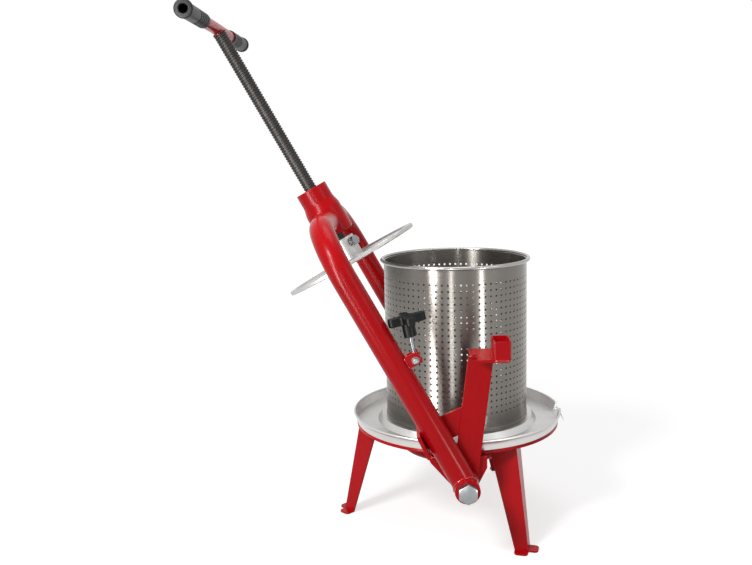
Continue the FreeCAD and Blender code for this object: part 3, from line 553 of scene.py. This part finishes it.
@dataclass
class YokeFrame:
    """Axes of the tilted yoke: x ahead of the arms, z up the spindle, from the pivot axis."""

    tilt: float = 28.6
    pivot: float = 142.0

    def matrix(self, offset: Point = (0.0, 0.0, 0.0)) -> Matrix:
        """Returns the place of the yoke's axes, moved by an offset along them in millimetres."""
        lean = Matrix.Rotation(math.radians(-self.tilt), 4, "Y")
        return Matrix.Translation((0, 0, self.pivot * MM)) @ lean @ Matrix.Translation(Vector(offset) * MM)

    def point(self, ahead: float, across: float, up: float) -> Point:
        """Returns the place in metres of a point given in millimetres on the yoke's axes."""
        return tuple(self.matrix() @ (Vector((ahead, across, up)) * MM))


YOKE_FRAME = YokeFrame()
# Turns the drawing's Z to face the front, for pieces on axes along Y.
TO_FRONT = Matrix.Rotation(math.radians(90), 4, "X")


@dataclass
class Basket(Assembly):
    """Perforated basket: one rolled sheet with a hem, a seam and a beaded rim."""

    body: Body = Body.BASKET
    radius: float = 132.5
    wall: float = 1.0
    bottom: float = 196.8
    top: float = 489.8
    columns: int = 76
    rows: int = 22
    first_row: float = 229.0
    row_pitch: float = 11.1
    hole: float = 2.0
    seam_bearing: float = 83.4
    hem: float = 6.0
    bead: float = 3.4
    bead_middle: float = 135.8
    bead_height: float = 492.0
    bead_gap: float = 1.6

    def sheet(self) -> bpy.types.Object:
        """Makes the flat perforated sheet from one tile."""
        width = TURN * self.radius / self.columns
        deselect()
        bpy.ops.mesh.primitive_circle_add(vertices=8, radius=self.hole * MM, rotation=(TURN / 4, 0, 0),
                                          location=(width / 2 * MM, 0, self.first_row * MM))
        tile = bpy.context.object
        middle = (width / 2 * MM, 0, self.first_row * MM)
        settle(tile)
        grow = (width / 2 / self.hole, 1.0, self.row_pitch / 2 / self.hole)
        edit(tile,
             lambda: bpy.ops.mesh.select_all(action="SELECT"),
             lambda: bpy.ops.mesh.extrude_edges_move(),
             lambda: bpy.ops.transform.resize(value=grow, center_override=middle))
        outer = self.hole * 1.2 * MM
        half = width / 2 * MM

        def at_corner(spot: Vector) -> bool:
            """Says whether a point is one of the outer ring's diagonal ones."""
            side, up = abs(spot.x - middle[0]), abs(spot.z - middle[2])
            return side > outer and up > outer and side < half * 0.9

        choose(tile, at_corner)
        spread = (math.sqrt(2), 1.0, math.sqrt(2))
        edit(tile, lambda: bpy.ops.transform.resize(value=spread, center_override=middle))
        repeat(tile, self.rows, (0.0, 0.0, self.row_pitch * MM))
        low = (self.first_row - self.row_pitch / 2) * MM
        high = (self.first_row + (self.rows - 0.5) * self.row_pitch) * MM
        for edge, end in ((low, self.bottom * MM), (high, self.top * MM)):
            for share in (0.5, 1.0):
                start = edge + (end - edge) * (share - 0.5)
                choose(tile, lambda spot: abs(spot.z - start) < MERGE, "EDGE")
                edit(tile, lambda: bpy.ops.mesh.extrude_edges_move(
                    TRANSFORM_OT_translate={"value": (0, 0, (end - edge) / 2)}))
        repeat(tile, self.columns, (width * MM, 0.0, 0.0))
        return tile

    def roll(self, sheet: bpy.types.Object) -> None:
        """Rolls the flat sheet into a cylinder round Z, with its ends at the seam."""
        length = TURN * self.radius * MM
        settle(sheet, Matrix.Translation((-length / 2, 0, 0)))
        modify(sheet, "SIMPLE_DEFORM", deform_method="BEND", deform_axis="Z", angle=TURN)
        edit(sheet, lambda: bpy.ops.mesh.select_all(action="SELECT"),
             lambda: bpy.ops.mesh.remove_doubles(threshold=2 * MERGE))
        middle = sum((v.co.y for v in sheet.data.vertices)) / len(sheet.data.vertices)
        settle(sheet, Matrix.Rotation(math.radians(self.seam_bearing - 90), 4, "Z")
               @ Matrix.Translation((0, -middle, 0)))
        edit(sheet, lambda: bpy.ops.mesh.select_all(action="SELECT"),
             lambda: bpy.ops.mesh.normals_make_consistent(inside=False))

    def build(self) -> None:
        """Makes the wall with its holes, hem, seam and rim."""
        wall = self.sheet()
        self.roll(wall)
        modify(wall, "SOLIDIFY", thickness=self.wall * MM, offset=-1.0, use_even_offset=True)
        smooth(wall, 50)
        finished(wall, "basket_wall", self.body, BASKET_STEEL)
        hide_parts("basket_shell")
        low, high = self.bottom, self.bottom + self.hem
        seat, proud = self.radius - 0.2, self.radius + 0.8
        hem = lathe("hem", [(seat, low), (proud - 0.3, low), (proud, low + 0.4), (proud, high - 0.5),
                            (proud - 0.3, high), (seat, high)], 128, closed=True)
        smooth(hem, 40)
        finished(hem, "basket_hem", self.body, BASKET_STEEL)
        bearing = math.radians(self.seam_bearing)
        seam_low, seam_high = high + 1, self.top - 3
        place = Vector((math.cos(bearing), math.sin(bearing), 0)) * (self.radius - self.wall / 2)
        place.z = (seam_low + seam_high) / 2
        deselect()
        bpy.ops.mesh.primitive_cylinder_add(vertices=12, radius=0.75 * MM, depth=(seam_high - seam_low) * MM,
                                            location=place * MM)
        seam = bpy.context.object
        settle(seam)
        modify(seam, "BEVEL", width=0.3 * MM, segments=2, limit_method="ANGLE", angle_limit=math.radians(50))
        smooth(seam, 60)
        finished(seam, "basket_seam", self.body, BASKET_STEEL)
        self.rim()

    def rim(self) -> None:
        """Rolls the bead round the rim, open at the seam."""
        gap = self.bead_gap / self.bead_middle / 2
        start = math.radians(self.seam_bearing) + gap
        turns = [start + (TURN - 2 * gap) * number / 200 for number in range(201)]
        path = [(self.bead_middle * math.cos(turn) * MM, self.bead_middle * math.sin(turn) * MM,
                 self.bead_height * MM) for turn in turns]
        bead = tube("basket_rim_piece", path, self.bead)
        finished(bead, "basket_rim_piece", self.body, BEAD_STEEL)
        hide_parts("basket_rim")


@dataclass
class Spindle(Assembly):
    """Threaded spindle with its cross handle and grips."""

    body: Body = Body.SPINDLE
    radius: float = 12.0
    pitch: float = 5.0
    depth: float = 1.5
    foot: float = 408.2
    groove: tuple[float, float] = (425.0, 436.0)
    groove_radius: float = 8.5
    head: float = 874.0
    handle: float = 882.0
    bar_radius: float = 10.5
    bore: float = 7.4
    grip_start: float = 115.0
    grip_end: float = 252.0
    grip_radius: float = 13.0
    collar_radius: float = 15.0
    notches: int = 5

    def rod(self) -> None:
        """Turns the foot with its groove and cuts the thread above it."""
        low, high = self.groove
        foot = lathe("foot", [(0, self.foot), (self.radius - 1.2, self.foot), (self.radius, self.foot + 1.2),
                              (self.radius, low - 0.6), (self.radius - 0.6, low), (self.groove_radius, low),
                              (self.groove_radius, high), (self.radius - self.depth, high), (0, high)], 48)
        smooth(foot, 35)
        thread = threaded("thread", self.radius, self.depth, self.pitch, high, self.head)
        rod = join("spindle_thread", [foot, thread])
        settle(rod, YOKE_FRAME.matrix())
        finished(rod, "spindle_thread", self.body, SPINDLE_STEEL)
        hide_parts("spindle")

    def grip(self, name: str, side: int, source: str) -> None:
        """Makes one grip with its collar, finger notches and open end."""
        start, end = self.grip_start, self.grip_end
        body, collar = self.grip_radius, self.collar_radius
        seat = self.bar_radius + 0.02
        profile: list[tuple[float, float]] = [
            (seat, start), (body - 0.9, start), (body - 0.2, start + 0.6), (body, start + 1.5),
            (body, start + 3.0), (body - 0.9, start + 3.6), (body - 0.9, start + 4.6), (body, start + 5.2)]
        first, last = start + 12, start + 74
        wave = (last - first) / self.notches
        for number in range(self.notches):
            low = first + number * wave
            profile += [(body, low), (body - 0.3, low + wave * 0.1), (body - 1.6, low + wave * 0.3),
                        (body - 1.6, low + wave * 0.45), (body - 0.3, low + wave * 0.65)]
        profile += [(body, last), (body, end - 9.5), (body - 1.0, end - 8.8), (body - 1.0, end - 7.6),
                    (collar - 0.9, end - 6.4), (collar - 0.2, end - 5.6), (collar, end - 4.6),
                    (collar, end - 2.2), (collar - 0.3, end - 1.1), (collar - 1.2, end - 0.3),
                    (collar - 2.4, end), (self.bore + 0.9, end), (self.bore + 0.2, end - 0.5),
                    (self.bore, end - 2.0), (seat, end - 2.0)]
        piece = lathe(name, profile, 48, closed=True)
        smooth(piece, 35)
        turn = Matrix.Rotation(math.radians(90 if side < 0 else -90), 4, "X")
        settle(piece, YOKE_FRAME.matrix((0, 0, self.handle)) @ turn)
        finished(piece, name, self.body, GRIP_VINYL)
        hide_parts(source)

    def build(self) -> None:
        """Makes the spindle, handle, grips and the weld between them."""
        self.rod()
        self.dress(["t_bar"], Slot.PAINT, PAINT, edge=0.4)
        self.grip("grip_front_piece", -1, "grip_front")
        self.grip("grip_rear_piece", 1, "grip_rear")
        # Near-black lining in the handle's bore: painted shade deep in the tube.
        outer, inner, reach = self.bore - 0.1, self.bore - 0.5, self.grip_end - 1
        corners = [(inner, -reach), (outer, -reach), (outer, reach), (inner, reach)]
        liner = lathe("t_bar_bore", corners, 48, closed=True)
        smooth(liner, 35)
        settle(liner, YOKE_FRAME.matrix((0, 0, self.handle)) @ TO_FRONT)
        finished(liner, "t_bar_bore", self.body, BORE_SHADE_PAINT)
        path = []
        for number in range(40):
            turn = TURN * number / 40
            ahead, across = self.radius * math.cos(turn), self.radius * math.sin(turn)
            lift = math.sqrt(max(0.0, self.bar_radius ** 2 - ahead ** 2))
            path.append(YOKE_FRAME.point(ahead, across, min(self.handle - lift, self.head)))
        self.weld("weld_handle", path, 2.2, True, 5)


@dataclass
class Yoke(Assembly):
    """Tilting yoke: arms, hub, bosses and the lock's lug with its pin."""

    body: Body = Body.YOKE
    spread: float = 236.0
    tube: float = 21.2
    pin: tuple[float, float] = (33.8, 230.8)

    def joints(self) -> None:
        """Lays the weld beads round the bosses and beside the lug."""
        for side, name in ((-1, "weld_boss_front"), (1, "weld_boss_rear")):
            path = []
            for number in range(64):
                turn = TURN * number / 64
                ahead, across = self.tube * math.cos(turn), self.tube * math.sin(turn)
                lift = math.sqrt(max(0.0, self.tube ** 2 - ahead ** 2))
                path.append(YOKE_FRAME.point(ahead, side * self.spread + across, lift + 0.8))
            self.weld(name, path, 4.2, True, 11 + side)
        reach = math.sqrt(self.tube ** 2 - 9.5 ** 2)
        for side, name in ((-1, "weld_lug_front"), (1, "weld_lug_rear")):
            across = -self.spread + side * 9.9
            ends = [Vector(YOKE_FRAME.point(reach + 0.4, across, up)) / MM for up in (223.5, 242.5)]
            self.weld(name, along(*ends), 3.2, False, 21 + side)

    def lug_pin(self) -> None:
        """Makes the pin's screw head, its end and the self-locking nut."""
        place = YOKE_FRAME.matrix((self.pin[0], 0, self.pin[1])) @ TO_FRONT
        nut = hexagon("lug_nut", 10.0, 246.75, 251.2, (True, False), 2.9)
        collar = lathe("collar", [(4.9, 250.8), (4.9, 251.6), (4.4, 252.6), (3.9, 252.9), (3.9, 251.2),
                                  (2.9, 251.2), (2.9, 250.8)], 36, closed=True)
        smooth(collar, 35)
        nut = join("lug_nut", [nut, collar])
        settle(nut, place)
        finished(nut, "lug_nut_piece", self.body, ZINC)
        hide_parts("lug_nut")
        ring = lathe("ring", [(3.05, 251.3), (4.0, 251.3), (4.0, 252.6), (3.7, 252.8), (3.2, 252.8),
                              (3.05, 252.6)], 36, closed=True)
        smooth(ring, 35)
        settle(ring, place)
        finished(ring, "lug_nut_ring", self.body, RING_NYLON)
        shank = threaded("shank", 3.0, 0.45, 1.0, 243.0, 253.6, 16)
        rod = lathe("rod", [(0, 226.0), (3.0, 226.0), (3.0, 243.2), (0, 243.2)], 24)
        tip = lathe("tip", [(2.4, 253.4), (2.3, 254.2), (0, 254.2)], 24)
        head = hexagon("lug_head", 10.0, 222.5, 226.5, (True, False))
        for part in (rod, tip):
            smooth(part, 35)
        screw = join("lug_screw", [shank, rod, tip, head])
        settle(screw, place)
        finished(screw, "lug_bolt_piece", self.body, ZINC)
        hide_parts("lug_bolt")

    def build(self) -> None:
        """Dresses the yoke's tubes and makes the lug's pin."""
        self.dress(["yoke_arm_front", "yoke_arm_rear"], Slot.PAINT, PAINT, edge=0.5, sharp=50)
        self.dress(["yoke_hub"], Slot.PAINT, PAINT, edge=0.0, shade=50)
        self.dress(["yoke_boss_front", "yoke_boss_rear"], Slot.PAINT, PAINT, edge=0.9)
        self.dress(["lock_lug"], Slot.PAINT, PAINT, edge=0.7)
        self.coat(["spindle_nut"], BRASS)
        self.coat(["lug_washer"], ZINC)
        self.joints()
        self.lug_pin()


@dataclass
class LockBolt(Assembly):
    """Swing bolt: flat eye and threaded stud."""

    body: Body = Body.BOLT
    pin: tuple[float, float] = (33.8, 230.8)
    lean: float = 17.5
    spread: float = 236.0
    eye: float = 9.0
    eye_half: float = 5.0
    stud: float = 4.0
    stud_end: float = 62.0

    def place(self) -> Matrix:
        """Returns the place of the bolt: z along the stud from the pin's axis."""
        lean = Matrix.Rotation(math.radians(self.lean), 4, "Y")
        return YOKE_FRAME.matrix((self.pin[0], -self.spread, self.pin[1])) @ lean

    def build(self) -> None:
        """Makes the eye, its neck and the stud's thread."""
        half, edge, shaft = self.eye_half, 0.8, self.stud - 0.05
        eye = lathe("eye", [(3.1, -half), (self.eye - edge, -half), (self.eye, -half + edge),
                            (self.eye, half - edge), (self.eye - edge, half), (3.1, half)], 48, closed=True)
        settle(eye, TO_FRONT)
        neck = lathe("neck", [(0, 6.0), (4.6, 6.0), (4.3, 9.0), (shaft, 11.0), (shaft, 14.5), (0, 14.5)], 32)
        for part in (eye, neck):
            smooth(part, 35)
        stud = threaded("stud", self.stud, 0.62, 1.25, 14.0, self.stud_end, 24)
        bolt = join("eye_bolt_piece", [eye, neck, stud])
        settle(bolt, self.place())
        finished(bolt, "eye_bolt_piece", self.body, ZINC)
        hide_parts("eye_bolt")


@dataclass
class Knob(Assembly):
    """Cross knob on the swing bolt."""

    body: Body = Body.KNOB

    def build(self) -> None:
        """Dresses the moulded knob."""
        self.dress(["star_knob"], Slot.KNOB, KNOB_NYLON, edge=0.9, sharp=40)


@dataclass
class Base(Assembly):
    """Dish, legs, brackets, lock post and the pivot bolts."""

    body: Body = Body.FRAME
    pivot: float = 142.0
    flats: float = 30.0

    def pivots(self) -> None:
        """Makes the pivot bolts with chamfered heads and nuts."""
        for side, name in ((1, "front"), (-1, "rear")):
            low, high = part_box("pivot_bolt_" + name)
            nut_low, nut_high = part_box("pivot_nut_" + name)
            tip, top = sorted(abs(v) / MM for v in (low.y, high.y))
            inner, outer = sorted(abs(v) / MM for v in (nut_low.y, nut_high.y))
            facing = Matrix.Rotation(math.radians(90 * side), 4, "X")
            place = Matrix.Translation((0, 0, self.pivot * MM)) @ facing
            head = hexagon("head", self.flats, top - 12.5, top, (False, True))
            shank = lathe("shank", [(0, outer - 2), (10, outer - 2), (10, top - 12), (0, top - 12)], 40)
            smooth(shank, 35)
            thread = threaded("thread", 10.0, 1.5, 2.5, tip, outer - 1.5, 32)
            bolt = join("bolt", [head, shank, thread])
            nut = hexagon("nut", self.flats, inner, outer, (True, True), 9.9)
            for piece, word in ((bolt, "pivot_bolt_"), (nut, "pivot_nut_")):
                settle(piece, place)
                finished(piece, word + name + "_piece", self.body, ZINC)
                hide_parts(word + name)
        self.coat(["pivot_washer_front", "pivot_washer_rear", "pivot_spacer"], ZINC)

    def joints(self) -> None:
        """Lays the weld beads of the lock post's top."""
        runs = (("weld_post_front", (9.0, -208.6, 356.0), (48.5, -208.6, 356.0), 3.4, 1.4),
                ("weld_post_rear", (9.0, -201.4, 356.0), (48.5, -201.4, 356.0), 3.4, 1.4),
                ("weld_tube_front", (44.0, -260.0, 360.6), (70.0, -260.0, 360.6), 6.2, 2.0),
                ("weld_tube_rear", (45.0, -211.4, 362.6), (67.0, -211.4, 362.6), 3.6, 1.4),
                ("weld_tube_left", (42.8, -250.0, 362.6), (42.8, -214.0, 362.6), 3.2, 1.4))
        for seed, (name, start, end, width, step) in enumerate(runs, 31):
            self.weld(name, along(start, end, step), width, False, seed)

    def build(self) -> None:
        """Dresses the sheet pieces and makes the bolts and welds."""
        self.dress(["base_dish"], Slot.PAINT, PAINT, edge=0.6, sharp=50)
        self.dress(["leg_left", "leg_front", "leg_rear"], Slot.PAINT, PAINT, edge=0.6, sharp=50)
        self.dress(["pivot_bracket_front", "pivot_bracket_rear", "lock_post", "saddle_plate", "lock_tube",
                    "yoke_rest"], Slot.PAINT, PAINT, edge=0.8)
        self.pivots()
        self.joints()


@dataclass
class Tray(Assembly):
    """Juice tray."""

    body: Body = Body.TRAY

    def build(self) -> None:
        """Dresses the spun tray."""
        self.dress(["juice_tray"], Slot.TRAY, TRAY_STEEL, edge=0.0, shade=50)


@dataclass
class PressPlate(Assembly):
    """Press plate with its screw and lock nut."""

    body: Body = Body.PLATE

    def build(self) -> None:
        """Dresses the plate and its fixing."""
        self.dress(["press_plate"], Slot.PLATE, PLATE_METAL, edge=0.5, sharp=50)
        self.dress(["plate_screw", "plate_lock_nut"], Slot.ZINC, ZINC, edge=0.4)


@dataclass
class PhotoCamera:
    """Camera at the photograph's place, with its angles in degrees and lengths in millimetres."""

    place: Point = (-105.19, -1592.19, 710.94)
    yaw: float = 1.542
    pitch: float = 9.335
    roll: float = -1.48
    focal_pixels: float = 859.58
    frame_width: float = 752.0
    sensor: float = 36.0

    def build(self) -> None:
        """Adds the camera and makes it the scene's."""
        data = bpy.data.cameras.new("photo_camera")
        data.sensor_fit = "HORIZONTAL"
        data.sensor_width = self.sensor
        data.lens = self.focal_pixels / self.frame_width * self.sensor
        data.clip_start, data.clip_end = 0.05, 50.0
        camera = bpy.data.objects.new("photo_camera", data)
        bpy.context.scene.collection.objects.link(camera)
        turn = (Matrix.Rotation(math.radians(self.yaw), 4, "Z")
                @ Matrix.Rotation(math.radians(90 - self.pitch), 4, "X")
                @ Matrix.Rotation(math.radians(self.roll), 4, "Z"))
        camera.matrix_world = Matrix.Translation(Vector(self.place) * MM) @ turn
        bpy.context.scene.camera = camera


@dataclass
class Lamp:
    """Soft lamp that looks at a point, with its place and size in metres."""

    name: str
    place: Point
    target: Point
    size: tuple[float, float]
    power: float
    mirrored_only: bool = False

    def build(self) -> None:
        """Adds the lamp; one that is mirrored only draws streaks on gloss and lights nothing else."""
        data = bpy.data.lights.new(self.name, "AREA")
        data.shape = "RECTANGLE"
        data.size, data.size_y = self.size
        data.energy = self.power
        lamp = bpy.data.objects.new(self.name, data)
        bpy.context.scene.collection.objects.link(lamp)
        way = Vector(self.target) - Vector(self.place)
        lamp.matrix_world = Matrix.Translation(self.place) @ way.to_track_quat("-Z", "Y").to_matrix().to_4x4()
        lamp.visible_camera = False
        lamp.visible_diffuse = not self.mirrored_only


@dataclass
class Studio:
    """White floor and room with soft lamps."""

    room: float = 0.26
    floor_size: float = 40.0
    floor_lift: tuple[float, float] = (0.7, 0.91)
    floor_reach: tuple[float, float] = (0.9, 3.0)
    lamps: list[Lamp] = field(default_factory=lambda: [
        Lamp("key_lamp", (-1.4, -1.7, 2.1), (0, 0, 0.35), (0.6, 0.6), 54),
        Lamp("fill_lamp", (1.9, -1.2, 1.6), (0, 0, 0.35), (1.0, 1.0), 6),
        Lamp("top_lamp", (0.1, 0.4, 2.6), (0, 0, 0.3), (1.2, 1.2), 12),
        Lamp("left_strip", (-0.72, -0.95, 0.5), (0, 0, 0.4), (0.18, 1.0), 19.0, True),
        Lamp("right_strip", (0.69, -0.94, 0.14), (0, 0, 0.14), (0.1, 0.28), 3.4, True),
        Lamp("middle_strip", (-0.27, -1.62, 0.45), (0, 0, 0.35), (0.07, 0.8), 3.8, True),
    ])

    @staticmethod
    def seen(tree: bpy.types.NodeTree) -> bpy.types.NodeSocket:
        """Adds the test for camera, glossy and transmission rays and returns its 0 or 1."""
        path = node(tree, "LightPath", {})
        first = node(tree, "Math", {"operation": "MAXIMUM", 0: path.outputs["Is Camera Ray"],
                                    1: path.outputs["Is Glossy Ray"]})
        both = node(tree, "Math", {"operation": "MAXIMUM", 0: first.outputs[0],
                                   1: path.outputs["Is Transmission Ray"]})
        return both.outputs[0]

    def world(self) -> None:
        """Lights the room plainly and shows it white."""
        world = bpy.data.worlds.new("studio_room")
        world.use_nodes = True
        tree = world.node_tree
        tree.nodes.clear()
        strength = node(tree, "MapRange", {0: self.seen(tree), 3: self.room, 4: 1.0})
        light = node(tree, "Background", {"Color": linear("#FFFFFF"), "Strength": strength.outputs[0]})
        node(tree, "OutputWorld", {"Surface": light.outputs[0]})
        bpy.context.scene.world = world

    def floor(self) -> None:
        """Lays the white floor, which keeps the shadow and glows a little more far away."""
        made = bpy.data.materials.new("studio_floor")
        made.use_nodes = True
        tree = made.node_tree
        tree.nodes.clear()
        place = node(tree, "TexCoord", {})
        away = node(tree, "VectorMath", {"operation": "LENGTH", 0: place.outputs["Object"]})
        glow = node(tree, "MapRange", {
            0: away.outputs["Value"], 1: self.floor_reach[0], 2: self.floor_reach[1],
            3: self.floor_lift[0], 4: self.floor_lift[1]})
        lift = node(tree, "Math", {"operation": "MULTIPLY", 0: self.seen(tree), 1: glow.outputs[0]})
        matt = node(tree, "BsdfDiffuse", {"Color": linear("#BCBCBC")})
        bright = node(tree, "Emission", {"Color": linear("#FFFFFF"), "Strength": lift.outputs[0]})
        both = node(tree, "AddShader", {0: matt.outputs[0], 1: bright.outputs[0]})
        node(tree, "OutputMaterial", {"Surface": both.outputs[0]})
        deselect()
        bpy.ops.mesh.primitive_plane_add(size=self.floor_size, location=(0, 0, -0.0005))
        floor = bpy.context.object
        floor.name = "studio_floor"
        settle(floor)
        floor.data.materials.append(made)

    def build(self) -> None:
        """Adds the room, the floor and the lamps."""
        self.world()
        self.floor()
        for lamp in self.lamps:
            lamp.build()
        bpy.context.scene.view_settings.view_transform = "Standard"


def main() -> None:
    """Builds the press, its camera and the studio."""
    logging.basicConfig(level=logging.INFO, format="%(name)s: %(message)s")
    deselect()
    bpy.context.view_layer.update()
    for group in (Base(), Tray(), Basket(), Yoke(), LockBolt(), Knob(), PressPlate(), Spindle()):
        LOG.info("building %s", type(group).__name__)
        group.build()
    PhotoCamera().build()
    Studio().build()


if __name__ == "__main__":
    main()
